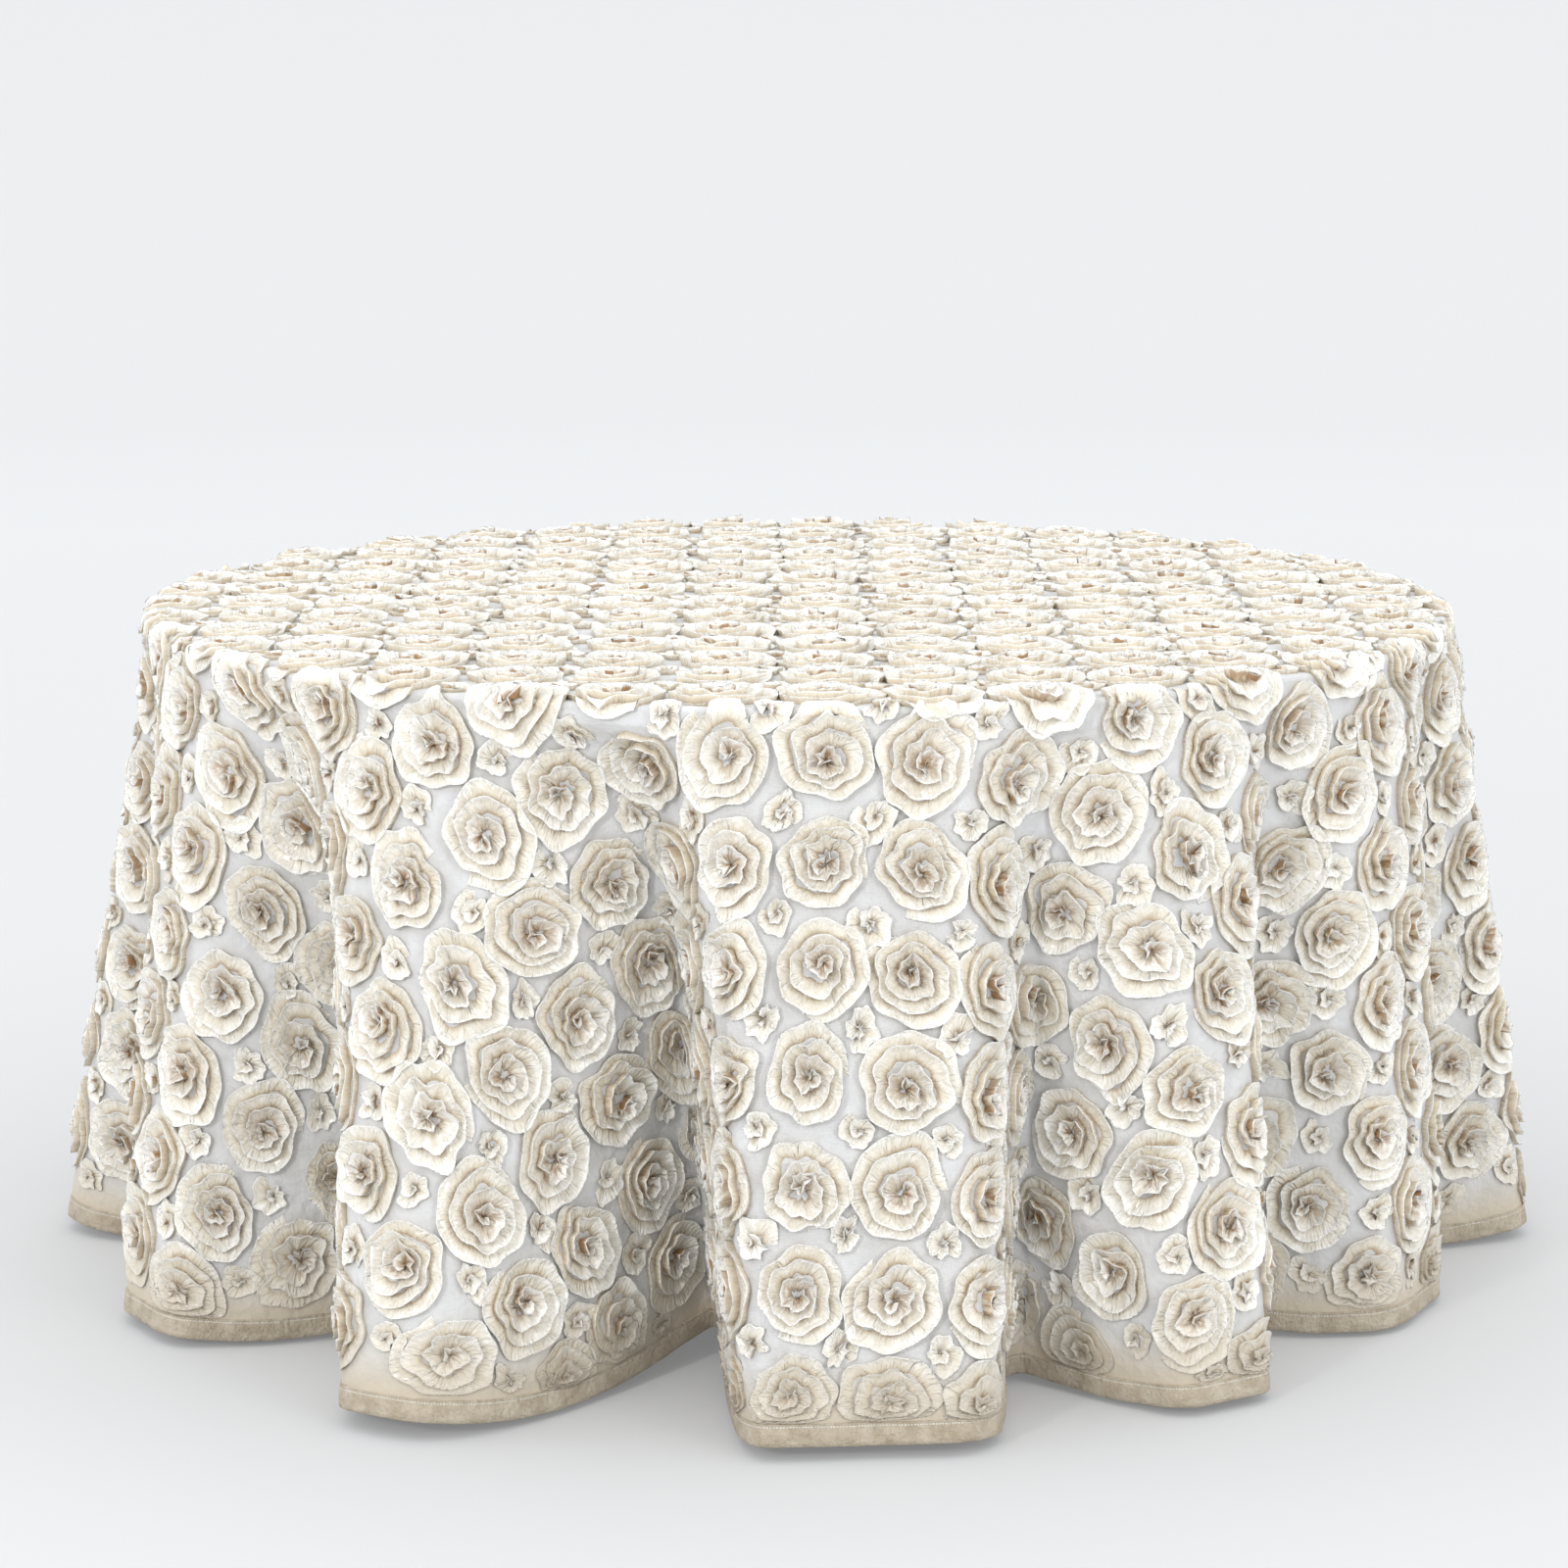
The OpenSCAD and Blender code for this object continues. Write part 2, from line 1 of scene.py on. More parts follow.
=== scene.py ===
import math
import bpy
import bmesh
import numpy as np
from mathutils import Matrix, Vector, noise


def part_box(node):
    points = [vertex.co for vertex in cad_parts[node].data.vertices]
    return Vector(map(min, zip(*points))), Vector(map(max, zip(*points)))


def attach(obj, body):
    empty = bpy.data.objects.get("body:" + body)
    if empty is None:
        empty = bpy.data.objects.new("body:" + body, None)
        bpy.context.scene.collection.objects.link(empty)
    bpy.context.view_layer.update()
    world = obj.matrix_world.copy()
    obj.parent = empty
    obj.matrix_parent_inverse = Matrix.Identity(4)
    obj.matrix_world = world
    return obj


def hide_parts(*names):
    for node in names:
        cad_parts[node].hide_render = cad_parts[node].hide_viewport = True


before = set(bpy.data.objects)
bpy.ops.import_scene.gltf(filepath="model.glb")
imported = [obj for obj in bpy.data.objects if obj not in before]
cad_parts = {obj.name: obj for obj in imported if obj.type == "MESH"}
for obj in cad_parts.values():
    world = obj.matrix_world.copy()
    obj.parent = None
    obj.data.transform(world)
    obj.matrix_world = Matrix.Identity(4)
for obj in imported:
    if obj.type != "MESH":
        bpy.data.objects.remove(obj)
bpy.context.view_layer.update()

scene = bpy.context.scene

# the camera, the floor and the light
cameraSet = {"place": (-0.017, -5.201, 1.501), "pitch": 10.41, "lens": 101.1, "sensor": 36.0}

cameraData = bpy.data.cameras.new("camera")
cameraData.lens = cameraSet["lens"]
cameraData.sensor_width = cameraSet["sensor"]
camera = bpy.data.objects.new("camera", cameraData)
camera.location = cameraSet["place"]
camera.rotation_euler = (math.radians(90 - cameraSet["pitch"]), 0, 0)
scene.collection.objects.link(camera)
scene.camera = camera
print("camera set")

studio = {
    "glowColor": (0.96, 0.98, 1, 1), "glowNear": (1.2, 0.17), "glowFar": (7.0, 0.27),
    "floorColor": (0.485, 0.487, 0.49, 1), "worldColor": (0.94, 0.955, 0.97, 1), "worldStrength": 1.42,
    "floorRadius": 10.0, "wallBend": 4.0, "wallTop": 5.5, "segments": 96, "bendSteps": 16,
}


def newObject(name, bm):
    mesh = bpy.data.meshes.new(name)
    bm.to_mesh(mesh)
    bm.free()
    piece = bpy.data.objects.new(name, mesh)
    scene.collection.objects.link(piece)
    return piece


def shadeSmooth(piece):
    piece.data.polygons.foreach_set("use_smooth", [True] * len(piece.data.polygons))
    piece.data.update()


def makeFloor():  # a round floor that sweeps up into a wall on every side
    flat, bend, steps = studio["floorRadius"], studio["wallBend"], studio["bendSteps"]
    turns = [math.pi / 2 * k / steps for k in range(1, steps + 1)]
    outline = [(flat - 1, 0), (flat, 0)]
    outline += [(flat + bend * math.sin(t), bend * (1 - math.cos(t))) for t in turns]
    outline.append((flat + bend, studio["wallTop"]))
    bm = bmesh.new()
    bmesh.ops.create_circle(bm, cap_ends=True, segments=studio["segments"], radius=outline[0][0])
    edges = list(bm.edges)
    for (r0, z0), (r1, z1) in zip(outline, outline[1:]):
        grown = bmesh.ops.extrude_edge_only(bm, edges=edges)["geom"]
        verts = [g for g in grown if isinstance(g, bmesh.types.BMVert)]
        bmesh.ops.scale(bm, verts=verts, vec=(r1 / r0, r1 / r0, 1))
        bmesh.ops.translate(bm, verts=verts, vec=(0, 0, z1 - z0))
        moved = set(verts)
        edges = [g for g in grown if isinstance(g, bmesh.types.BMEdge) and moved.issuperset(g.verts)]
    floor = newObject("studio_floor", bm)
    shadeSmooth(floor)
    paper = bpy.data.materials.new("studioPaper")
    paper.use_nodes = True
    surface = paper.node_tree.nodes["Principled BSDF"]
    surface.inputs["Base Color"].default_value = studio["floorColor"]
    surface.inputs["Roughness"].default_value = 0.9
    surface.inputs["Specular IOR Level"].default_value = 0.1
    surface.inputs["Emission Color"].default_value = studio["glowColor"]
    tree = paper.node_tree
    fromMiddle = tree.nodes.new("ShaderNodeVectorMath")
    fromMiddle.operation = "LENGTH"
    tree.links.new(tree.nodes.new("ShaderNodeTexCoord").outputs["Object"], fromMiddle.inputs[0])
    glow = tree.nodes.new("ShaderNodeMapRange")
    for end, (distance, strength) in (("Min", studio["glowNear"]), ("Max", studio["glowFar"])):
        glow.inputs["From " + end].default_value = distance
        glow.inputs["To " + end].default_value = strength
    tree.links.new(fromMiddle.outputs["Value"], glow.inputs["Value"])
    tree.links.new(glow.outputs["Result"], surface.inputs["Emission Strength"])
    floor.data.materials.append(paper)


# name, place, what it points at, size, power, colour
lights = [
    ("key_light", (-3.4, -6.0, 2.9), (0, -0.2, 0.5), 0.8, 112, (1, 0.985, 0.96)),
    ("fill_light", (4.0, -5.4, 2.1), (0, 0, 0.4), 2.4, 75, (1, 0.995, 0.98)),
    ("left_light", (-5.5, -0.8, 1.6), (0, 0, 0.4), 3.0, 36, (1, 1, 1)),
    ("right_light", (5.5, -0.8, 1.6), (0, 0, 0.4), 3.0, 27, (1, 1, 1)),
    ("top_light", (0.2, 1.0, 4.0), (0, 0, 0.7), 2.2, 12, (1, 1, 1)),
]


def addAreaLight(name, place, aim, size, power, color):
    light = bpy.data.lights.new(name, "AREA")
    light.shape = "DISK"
    light.size = size
    light.energy = power
    light.color = color
    lamp = bpy.data.objects.new(name, light)
    lamp.location = place
    lamp.rotation_euler = (Vector(aim) - Vector(place)).to_track_quat("-Z", "Y").to_euler()
    scene.collection.objects.link(lamp)


def makeLight():
    world = bpy.data.worlds.new("studioWorld")
    world.use_nodes = True
    world.node_tree.nodes["Background"].inputs["Color"].default_value = studio["worldColor"]
    world.node_tree.nodes["Background"].inputs["Strength"].default_value = studio["worldStrength"]
    scene.world = world
    scene.view_settings.view_transform = "Standard"
    for values in lights:
        addAreaLight(*values)


makeFloor()
makeLight()
print("floor and light set")

# how the cloth hangs
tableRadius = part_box("edge_band")[1][0]
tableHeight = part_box("edge_band")[1][2]
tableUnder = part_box("edge_band")[0][2]

drape = {
    "gap": 0.0004, "bandRound": 0.0025, "hemClearance": 0.006,
    "columns": 288, "dropRings": 30, "topRings": (0.2, 0.4, 0.55, 0.65, 0.72),
    "crestGrowth": 0.95, "valleyGrowth": 0.75, "lean": 0.6, "samples": 24,
}
# azimuth of a crest, half its width, its radius, azimuth of the valley after it, valley radius
folds = [
    (4.5, 7.0, 0.884, 20, 0.665),
    (33.0, 3.0, 0.850, 43, 0.640),
    (62.0, 4.0, 0.808, 75, 0.640),
    (91.0, 4.0, 0.884, 106, 0.610),
    (121.0, 4.5, 0.850, 136, 0.600),
    (151.0, 4.0, 0.872, 166, 0.600),
    (181.0, 5.0, 0.884, 196, 0.600),
    (211.0, 4.0, 0.866, 226, 0.600),
    (240.0, 4.5, 0.852, 254, 0.610),
    (267.5, 4.0, 0.886, 284, 0.620),
    (301.0, 3.0, 0.862, 318, 0.620),
    (331.0, 2.0, 0.916, 351, 0.545),
]

edgeBend = drape["bandRound"] + drape["gap"]
bendLength = edgeBend * math.pi / 2
straightTo = bendLength + (tableHeight - tableUnder) - drape["bandRound"]
edgeRadius = tableRadius + drape["gap"]
clothHeight = tableHeight + drape["gap"]
flatRadius = edgeRadius - edgeBend
dropLength = clothHeight - edgeBend + bendLength - drape["hemClearance"]
clothRadius = flatRadius + dropLength

# one flank for each way down from a crest to a valley or back: azimuths, radii and the crest's flat share
flanks = []
for fold, after in zip(folds, folds[1:] + [(folds[0][0] + 360,) + folds[0][1:]]):
    crest, half, crestR, valley, valleyR = fold
    nextCrest, nextHalf, nextR = after[:3]
    flanks.append((crest, valley, crestR, valleyR, half / (valley - crest), 0))
    flanks.append((valley, nextCrest, valleyR, nextR, 0, nextHalf / (nextCrest - valley)))


def flankRadii(flank, u):  # hem radius along a flank, for u from 0 to 1
    fromR, toR, flatBefore, flatAfter = flank[2:]
    v = np.clip((u - flatBefore) / (1 - flatBefore - flatAfter), 0, 1)
    return fromR + (toR - fromR) * v * v * (3 - 2 * v)


def growthAt(rim, t):
    return t ** np.where(rim > tableRadius, drape["crestGrowth"], drape["valleyGrowth"])


def flankLine(flank, azimuths, t):  # plan of a flank at share t down the drop, and its running length
    u = np.linspace(0, 1, drape["samples"] + 1)
    rim = flankRadii(flank, u)
    r = edgeRadius + (rim - edgeRadius) * growthAt(rim, t)
    a = np.radians(azimuths[0] + (azimuths[1] - azimuths[0]) * u)
    steps = np.hypot(np.diff(r * np.sin(a)), np.diff(r * np.cos(a)))
    return u, np.concatenate([[0], np.cumsum(steps)])


hemLengths = [flankLine(f, f[:2], 1.0)[1][-1] for f in flanks]
flankShares = folds[0][0] / 360 + np.concatenate([[0], np.cumsum(hemLengths)]) / sum(hemLengths)


def leaningAzimuth(k, t):  # a crest or valley follows one thread, straight from the table to the hem
    thread = 360 * flankShares[k]
    hem = flanks[k][0] if k < len(flanks) else flanks[0][0] + 360
    return thread + (hem - thread) * t ** drape["lean"]


def drapedPlace(x, y):  # where a place on the flat cloth starts, before the cloth settles
    r = math.hypot(x, y)
    s = r - flatRadius
    if s <= 0:
        return Vector((x, y, clothHeight))
    t = max(0, s - straightTo) / (dropLength - straightTo)
    share = (math.degrees(math.atan2(x, -y)) % 360) / 360
    if share < flankShares[0]:
        share += 1
    k = min(int(np.searchsorted(flankShares, share, side="right")) - 1, len(flanks) - 1)
    ends = (leaningAzimuth(k, t), leaningAzimuth(k + 1, t))
    us, lengths = flankLine(flanks[k], ends, t)
    along = (share - flankShares[k]) / (flankShares[k + 1] - flankShares[k])
    u = np.interp(along * lengths[-1], lengths, us)
    rim = float(flankRadii(flanks[k], u))
    out = (rim - edgeRadius) * float(growthAt(rim, t))
    turn = min(1, s / bendLength) * math.pi / 2
    folded = max(0, s - straightTo)
    down = max(0, min(s, straightTo) - bendLength) + math.sqrt(max(0, folded * folded - out * out))
    reach = flatRadius + edgeBend * math.sin(turn) + out
    height = clothHeight - edgeBend + edgeBend * math.cos(turn) - down
    a = math.radians(ends[0] + (ends[1] - ends[0]) * u)
    return Vector((reach * math.sin(a), -reach * math.cos(a), height))


bendRadii = [flatRadius + bendLength * k / 3 for k in range(4)]
dropRadii = list(np.linspace(flatRadius + straightTo, clothRadius, drape["dropRings"]))
ringRadii = list(drape["topRings"]) + bendRadii + dropRadii


def makeRings(bm, radii, columns, capped):  # rings of a flat disc or ring, from the inner one outwards
    bmesh.ops.create_circle(bm, cap_ends=capped, cap_tris=capped, segments=columns, radius=radii[0])
    edges = [e for e in bm.edges if e.is_boundary or e.is_wire]
    for before, after in zip(radii, radii[1:]):
        grown = bmesh.ops.extrude_edge_only(bm, edges=edges)["geom"]
        verts = [g for g in grown if isinstance(g, bmesh.types.BMVert)]
        bmesh.ops.scale(bm, verts=verts, vec=(after / before, after / before, 1))
        moved = set(verts)
        edges = [g for g in grown if isinstance(g, bmesh.types.BMEdge) and moved.issuperset(g.verts)]


def flatCoordinates(piece):
    places = np.empty(len(piece.data.vertices) * 3)
    piece.data.vertices.foreach_get("co", places)
    return places.reshape(-1, 3)


settle = {"frames": 20, "mass": 0.0006, "tension": 60, "bending": 6.0, "damping": 3.0, "quality": 8}


def settleCloth(cloth):  # the cloth simulation: the top is held, and the folds hang out their own shape
    held = cloth.vertex_groups.new(name="held")
    for v in cloth.data.vertices:
        if math.hypot(v.co.x, v.co.y) < flatRadius + straightTo + 0.001:
            held.add([v.index], 1.0, "REPLACE")
        v.co = drapedPlace(v.co.x, v.co.y)
    modifier = cloth.modifiers.new("settle", "CLOTH")
    cs = modifier.settings
    cs.quality = settle["quality"]
    cs.mass = settle["mass"]
    cs.tension_stiffness = settle["tension"]
    cs.compression_stiffness = settle["tension"]
    cs.shear_stiffness = settle["tension"] * 0.5
    cs.bending_stiffness = settle["bending"]
    cs.air_damping = settle["damping"]
    cs.vertex_group_mass = "held"
    modifier.collision_settings.use_collision = False
    modifier.point_cache.frame_end = settle["frames"]
    for f in range(1, settle["frames"] + 1):
        scene.frame_set(f)
    settled = cloth.evaluated_get(bpy.context.evaluated_depsgraph_get()).data
    places = np.empty(len(settled.vertices) * 3)
    settled.vertices.foreach_get("co", places)
    cloth.modifiers.remove(modifier)
    cloth.data.vertices.foreach_set("co", places)
    scene.frame_set(1)


def hangCloth():  # rings and columns of settled places, which every sewn piece is laid on
    bm = bmesh.new()
    makeRings(bm, ringRadii, drape["columns"], True)
    cloth = newObject("cloth_pattern", bm)
    flat = flatCoordinates(cloth)
    radii = np.hypot(flat[:, 0], flat[:, 1])
    onRing = radii > ringRadii[0] / 2
    ring = np.abs(radii[:, None] - np.array(ringRadii)).argmin(axis=1)
    turn = np.degrees(np.arctan2(flat[:, 0], -flat[:, 1])) % 360
    column = np.round(turn / 360 * drape["columns"]).astype(int) % drape["columns"]
    settleCloth(cloth)
    grid = np.zeros((len(ringRadii), drape["columns"], 3))
    grid[ring[onRing], column[onRing]] = flatCoordinates(cloth)[onRing]
    bpy.data.objects.remove(cloth)
    return grid


def splineWeights(t):  # Catmull-Rom weights of the four neighbours
    t2, t3 = t * t, t * t * t
    return (-t3 + 2 * t2 - t) / 2, (3 * t3 - 5 * t2 + 2) / 2, (-3 * t3 + 4 * t2 + t) / 2, (t3 - t2) / 2


clothGrid = hangCloth()
print("cloth hung and settled")


def surfaceAt(x, y):  # where places on the flat cloth lie on the hung cloth's underside
    r = np.hypot(x, y)
    rings = np.interp(r, ringRadii, np.arange(len(ringRadii)))
    columns = (np.arctan2(x, -y) / (2 * math.pi) % 1) * drape["columns"]
    i, j = np.floor(rings).astype(int), np.floor(columns).astype(int)
    place = np.zeros((len(x), 3))
    for di, wi in enumerate(splineWeights(rings - i)):
        row = np.clip(i + di - 1, 0, len(ringRadii) - 1)
        for dj, wj in enumerate(splineWeights(columns - j)):
            place += (wi * wj)[:, None] * clothGrid[row, (j + dj - 1) % drape["columns"]]
    flatTop = r < flatRadius
    place[flatTop] = np.stack([x, y, np.full_like(x, clothHeight)], axis=1)[flatTop]
    return place


def layOn(x, y, height):  # a place on the flat cloth, lifted off the hung cloth along its normal
    step = 0.004
    acrossX = surfaceAt(x + step, y) - surfaceAt(x - step, y)
    acrossY = surfaceAt(x, y + step) - surfaceAt(x, y - step)
    normal = np.cross(acrossX, acrossY)
    normal /= np.linalg.norm(normal, axis=1)[:, None]
    return surfaceAt(x, y) + normal * height[:, None]


def giveFloat(piece, name, values):
    piece.data.attributes.new(name, "FLOAT", "POINT").data.foreach_set("value", values)


def giveFlatUV(piece, x, y):  # the UV map is the flat cut, in metres
    uv = np.stack([x, y], axis=1)
    corners = np.empty(len(piece.data.loops), dtype=int)
    piece.data.loops.foreach_get("vertex_index", corners)
    layer = piece.data.uv_layers.new(name="cut")
    layer.data.foreach_set("uv", uv[corners].ravel())


# the ground cloth
groundCloth = {"columns": 432, "topRings": 10, "dropRings": 56, "thick": 0.0016, "innerRadius": 0.05,
               "bendRings": 9, "hemOverlap": 0.004, "pale": (0.72, 0.725, 0.735), "grey": (0.62, 0.62, 0.615),
               "threads": 700, "hemTint": (0.085, 0.03)}


def makeGroundCloth():
    radii = list(np.linspace(groundCloth["innerRadius"], flatRadius, groundCloth["topRings"]))
    radii += list(np.linspace(flatRadius, flatRadius + straightTo, groundCloth["bendRings"])[1:])
    lastRadius = clothRadius - groundCloth["hemOverlap"]
    radii += list(np.linspace(flatRadius + straightTo, lastRadius, groundCloth["dropRings"])[1:])
    bm = bmesh.new()
    makeRings(bm, radii, groundCloth["columns"], True)
    bmesh.ops.recalc_face_normals(bm, faces=bm.faces)
    cloth = newObject("ground_mesh_cloth", bm)
    flat = flatCoordinates(cloth)
    x, y = flat[:, 0], flat[:, 1]
    giveFlatUV(cloth, x, y)
    cloth.data.vertices.foreach_set("co", layOn(x, y, np.zeros(len(x))).ravel())
    shadeSmooth(cloth)
    wall = cloth.modifiers.new("wall", "SOLIDIFY")
    wall.thickness = groundCloth["thick"]
    wall.offset = 1
    return cloth


groundPiece = makeGroundCloth()
print("ground cloth made")

# the hem
hem = {
    "columns": 1152, "crumple": 0.0012, "crumpleScale": 26.0, "backRow": 8, "backShift": 0.03,
    "light": (0.56, 0.49, 0.385), "dark": (0.42, 0.35, 0.255), "thread": (0.78, 0.74, 0.66), "threads": 900,
    "seamUp": 0.0214, "seamHalf": 0.0007, "stitches": 280, "stitchGap": 0.32,
}
# the folded band's outline: way up from the edge, height off the cloth's underside
hemOutline = [
    (0.0250, 0.0012), (0.0244, 0.0030), (0.0226, 0.0034), (0.0214, 0.0024), (0.0202, 0.0034),
    (0.0140, 0.0037), (0.0070, 0.0036), (0.0022, 0.0032), (0.0000, 0.0012),
    (0.0022, -0.0006), (0.0120, -0.0008), (0.0214, -0.0004), (0.0244, -0.0006), (0.0250, 0.0012),
]


def makeHem():
    bm = bmesh.new()
    makeRings(bm, [0.5 + 0.1 * i for i in range(len(hemOutline))], hem["columns"], False)
    band = newObject("hem_band", bm)
    flat = flatCoordinates(band)
    row = np.round((np.hypot(flat[:, 0], flat[:, 1]) - 0.5) / 0.1).astype(int)
    outline = np.array(hemOutline)
    turn = np.arctan2(flat[:, 0], -flat[:, 1])
    r = clothRadius - outline[row, 0]
    x, y = r * np.sin(turn), -r * np.cos(turn)
    giveFlatUV(band, turn * clothRadius, outline[row, 0] + hem["backShift"] * (row > hem["backRow"]))
    points = zip(x, y, np.abs(outline[row, 1]) * 4)
    crumple = np.array([noise.noise(Vector(point) * hem["crumpleScale"]) for point in points])
    crumple = crumple * hem["crumple"] * np.sign(outline[row, 1])
    band.data.vertices.foreach_set("co", layOn(x, y, outline[row, 1] + crumple).ravel())
    bm = bmesh.new()
    bm.from_mesh(band.data)
    bmesh.ops.remove_doubles(bm, verts=bm.verts, dist=0.00002)
    bmesh.ops.recalc_face_normals(bm, faces=bm.faces)
    bm.to_mesh(band.data)
    bm.free()
    shadeSmooth(band)
    return band


hemPiece = makeHem()
print("hem made")

# the rosettes
rosetteGrid = {"pitch": 0.110, "shiftX": 0.028, "shiftFront": 0.037, "seed": 27}
# rosettes crushed at the hem: where it starts and ends, and how flat they get
hemSquash = {"from": 0.052, "end": 0.019, "full": 0.02, "reach": 0.10, "flat": 0.35}
# each is an open coil: radius, radius of its end, turns, and lip height outside and inside, in metres
largeRosette = {
    "steps": 128, "length": 0.75, "radius": (0.0565, 0.0650), "core": 0.0036, "turns": (3.4, 4.3),
    "lip": (0.0060, 0.0145), "margin": 0.014, "oval": 0.22, "drift": 0.0085,
    "wander": 0.0035, "perPiece": 110,
}
smallRosette = {
    "steps": 38, "length": 0.17, "radius": (0.0235, 0.0310), "core": 0.0016, "turns": (1.5, 2.2),
    "lip": (0.0034, 0.0075), "margin": 0.022, "oval": 0.35, "drift": 0.0012,
    "wander": 0.0075, "perPiece": 420,
}
# the ribbon's outline: way in from the lip as a share of the pitch, height as a share of the lip's
ribbonOutline = [
    (1.34, -0.15), (1.0, 0.17), (0.60, 0.34), (0.27, 0.56),
    (0.09, 0.88), (0.0, 1.0), (0.0, 0.84), (0.15, -0.15),
]


def waver(rng, angle, rates, size):  # a wave of several rates, each with its own start
    total = np.zeros_like(angle)
    for rate in rates:
        total += rng.uniform(0.4, 1) * np.sin(rate * angle + rng.uniform(0, 2 * math.pi))
    return total * size / math.sqrt(len(rates))


def coilRibbon(rng, kind, along, across):  # one rosette's ribbon, flat on the ground: x, y, height, bud
    radius, turns = rng.uniform(*kind["radius"]), rng.uniform(*kind["turns"])
    core, (lowLip, highLip) = kind["core"], kind["lip"]
    pitch = (radius - core) / turns
    lipRadius = np.sqrt(radius ** 2 - along * (radius ** 2 - core ** 2))
    wound = (radius - lipRadius) / (radius - core)
    angle = wound * turns * 2 * math.pi + rng.uniform(0, 2 * math.pi)
    shape = waver(rng, angle, (2, 3, 4, 5), 0.055) + waver(rng, angle, (1.3, 2.7, 4.4), 0.02)
    lipRadius = lipRadius * (1 + shape) + waver(rng, angle, (0.7, 3.3, 6.1, 8.3), pitch * 0.28)
    lip = lowLip + (highLip - lowLip) * np.minimum(1, wound * 1.25) ** 0.85
    lip *= 1 - 0.35 * np.clip((wound - 0.90) / 0.10, 0, 1)
    lip *= 1 + waver(rng, angle, (2.2, 4.6, 7.3), 0.16)
    bud = np.clip((wound - 0.55) / 0.3, 0, 1)
    lipRadius = lipRadius + bud * waver(rng, angle, (2.6, 4.7, 7.9), pitch * 0.22)
    starting = np.clip(along * 16, 0.12, 1)  # the ribbon's outer end is tucked in
    outline = np.array(ribbonOutline)
    wayIn = np.interp(across, np.linspace(0, 1, len(outline)), outline[:, 0]) * pitch
    share = np.interp(across, np.linspace(0, 1, len(outline)), outline[:, 1])
    r = np.maximum(0.0004, lipRadius - wayIn - (1 - starting) * pitch * 0.6)
    height = lip * share * starting
    x, y = r * np.cos(angle), r * np.sin(angle)
    lean = rng.uniform(0, 2 * math.pi)
    stretch = 1 + rng.uniform(0, kind["oval"])
    u = (x * math.cos(lean) + y * math.sin(lean)) * math.sqrt(stretch)
    v = (-x * math.sin(lean) + y * math.cos(lean)) / math.sqrt(stretch)
    middle = 1 - wound
    u += waver(rng, wound * 3, (1, 2), kind["drift"]) * (1 - middle)
    v += waver(rng, wound * 3, (1, 2), kind["drift"]) * (1 - middle)
    x, y = u * math.cos(lean) - v * math.sin(lean), u * math.sin(lean) + v * math.cos(lean)
    return x, y, height, bud


def rosettePlaces(rng, half, kind):  # centres on the flat cloth's square grid
    pitch, wander = rosetteGrid["pitch"], kind["wander"]
    reach = math.ceil(clothRadius / pitch)
    places = []
    for i in range(-reach, reach + 1):
        for j in range(-reach, reach + 1):
            x = (i + half) * pitch + rosetteGrid["shiftX"] + rng.uniform(-wander, wander)
            y = (j + half) * pitch - rosetteGrid["shiftFront"] + rng.uniform(-wander, wander)
            if math.hypot(x, y) < clothRadius - kind["margin"]:
                places.append((x, y))
    return places


def smoothStep(u):
    u = np.clip(u, 0, 1)
    return u * u * (3 - 2 * u)


def makeRosettes(name, kind, places, rng):  # one piece of several rosettes, each a coiled ribbon
    template = bmesh.new()
    template.loops.layers.uv.new("ribbon")
    bmesh.ops.create_grid(template, x_segments=kind["steps"], y_segments=len(ribbonOutline) - 1, size=1,
                          calc_uvs=True)
    for face in template.faces:  # the map runs along the ribbon in metres and across it from 0 to 1
        for corner in face.loops:
            corner[template.loops.layers.uv.active].uv.x *= kind["length"]
    ribbon = newObject("ribbon_pattern", template)
    along, across = (flatCoordinates(ribbon)[:, :2].T + 1) / 2
    bm = bmesh.new()
    for _ in places:
        bm.from_mesh(ribbon.data)
    bpy.data.objects.remove(ribbon)
    piece = newObject(name, bm)
    parts = [coilRibbon(rng, kind, along, across) for _ in places]
    coilX, coilY, height, bud = (np.concatenate([p[k] for p in parts]) for k in range(4))
    count = len(along)
    x = coilX + np.repeat([p[0] for p in places], count)
    y = coilY + np.repeat([p[1] for p in places], count)
    r = np.hypot(x, y)
    fromR, endR = clothRadius - hemSquash["from"], clothRadius - hemSquash["end"]
    crushed = fromR + (endR - fromR) * (1 - np.exp(-(r - fromR) / (endR - fromR)))
    squashed = np.where(r > fromR, crushed, r)
    nearHem = 1 - smoothStep((clothRadius - squashed - hemSquash["full"]) / hemSquash["reach"])
    height = height * (1 - (1 - hemSquash["flat"]) * nearHem) + groundCloth["thick"]
    x, y = x * squashed / r, y * squashed / r
    piece.data.vertices.foreach_set("co", layOn(x, y, height).ravel())
    giveFloat(piece, "bud", bud)
    giveFloat(piece, "chance", np.repeat(rng.uniform(0, 1, len(places)), count))
    giveFloat(piece, "nearHem", nearHem)
    shadeSmooth(piece)
    return piece


def splitRosettes(name, kind, places, rng):
    size = math.ceil(len(places) / math.ceil(len(places) / kind["perPiece"]))
    return [makeRosettes(f"{name}_{k // size + 1}", kind, places[k:k + size], rng)
            for k in range(0, len(places), size)]


